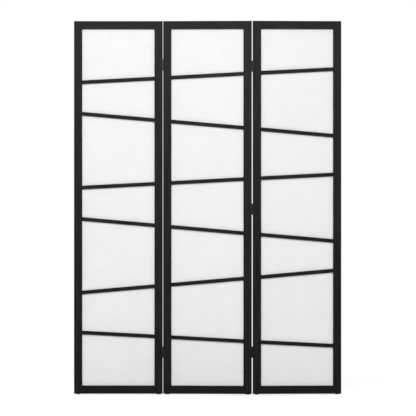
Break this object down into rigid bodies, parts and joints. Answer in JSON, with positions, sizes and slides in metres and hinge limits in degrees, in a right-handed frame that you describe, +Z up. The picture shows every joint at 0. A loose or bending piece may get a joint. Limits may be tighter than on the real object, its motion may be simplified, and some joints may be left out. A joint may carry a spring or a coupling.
{
  "type": "folding room divider",
  "caption": "Free-standing folding screen: black wooden frames with white sheets behind slanting slats, hinged edge to edge to close into a flat zigzag.",
  "frame": {"origin": "centre of the screen's footprint on the floor, at rest", "axes": "+Z up; the front, with the slats, faces -Y; +X to the viewer's right"},
  "size_m": [1.212, 0.046, 1.6925],
  "materials": {
    "black_lacquer": "satin black lacquer over fine-grained softwood",
    "white_sheet": "matt white non-woven sheet",
    "hinge_metal": "satin black coated steel",
    "pin_steel": "black oxide steel",
    "screw_steel": "black zinc steel",
    "dowel_wood": "bare beech",
    "glide_plastic": "moulded black polyethylene"
  },
  "bodies": {
    "middle_panel": {"left_fold_bottom_hinge_inner_leaf": "hinge_metal", "left_fold_hinge_pins": "pin_steel", "left_fold_top_hinge_inner_leaf": "hinge_metal", "middle_panel_bottom_rail": "black_lacquer", "middle_panel_corner_dowels": "dowel_wood", "middle_panel_floor_glides": "glide_plastic", "middle_panel_hinge_screws": "screw_steel", "middle_panel_left_stile": "black_lacquer", "middle_panel_right_stile": "black_lacquer", "middle_panel_sheet": "white_sheet", "middle_panel_sheet_beads": "black_lacquer", "middle_panel_slat_1": "black_lacquer", "middle_panel_slat_2": "black_lacquer", "middle_panel_slat_3": "black_lacquer", "middle_panel_slat_4": "black_lacquer", "middle_panel_slat_5": "black_lacquer", "middle_panel_slat_6": "black_lacquer", "middle_panel_top_rail": "black_lacquer", "right_fold_bottom_hinge_inner_leaf": "hinge_metal", "right_fold_hinge_pins": "pin_steel", "right_fold_middle_hinge_inner_leaf": "hinge_metal", "right_fold_top_hinge_inner_leaf": "hinge_metal"},
    "left_panel": {"left_fold_bottom_hinge_outer_leaf": "hinge_metal", "left_fold_top_hinge_outer_leaf": "hinge_metal", "left_panel_bottom_rail": "black_lacquer", "left_panel_corner_dowels": "dowel_wood", "left_panel_floor_glides": "glide_plastic", "left_panel_hinge_screws": "screw_steel", "left_panel_left_stile": "black_lacquer", "left_panel_right_stile": "black_lacquer", "left_panel_sheet": "white_sheet", "left_panel_sheet_beads": "black_lacquer", "left_panel_slat_1": "black_lacquer", "left_panel_slat_2": "black_lacquer", "left_panel_slat_3": "black_lacquer", "left_panel_slat_4": "black_lacquer", "left_panel_slat_5": "black_lacquer", "left_panel_slat_6": "black_lacquer", "left_panel_top_rail": "black_lacquer"},
    "right_panel": {"right_fold_bottom_hinge_outer_leaf": "hinge_metal", "right_fold_middle_hinge_outer_leaf": "hinge_metal", "right_fold_top_hinge_outer_leaf": "hinge_metal", "right_panel_bottom_rail": "black_lacquer", "right_panel_corner_dowels": "dowel_wood", "right_panel_floor_glides": "glide_plastic", "right_panel_hinge_screws": "screw_steel", "right_panel_left_stile": "black_lacquer", "right_panel_right_stile": "black_lacquer", "right_panel_sheet": "white_sheet", "right_panel_sheet_beads": "black_lacquer", "right_panel_slat_1": "black_lacquer", "right_panel_slat_2": "black_lacquer", "right_panel_slat_3": "black_lacquer", "right_panel_slat_4": "black_lacquer", "right_panel_slat_5": "black_lacquer", "right_panel_slat_6": "black_lacquer", "right_panel_top_rail": "black_lacquer"}
  },
  "joints": [
    {"name": "left_fold", "type": "hinge", "parent": "middle_panel", "child": "left_panel", "pos_m": [-0.2031, 0.00247, 0], "axis": [0, 0, 1], "range_deg": [-4, 176]},
    {"name": "right_fold", "type": "hinge", "parent": "middle_panel", "child": "right_panel", "pos_m": [0.20208, -0.00271, 0], "axis": [0, 0, 1], "range_deg": [-12, 172]}
  ]
}
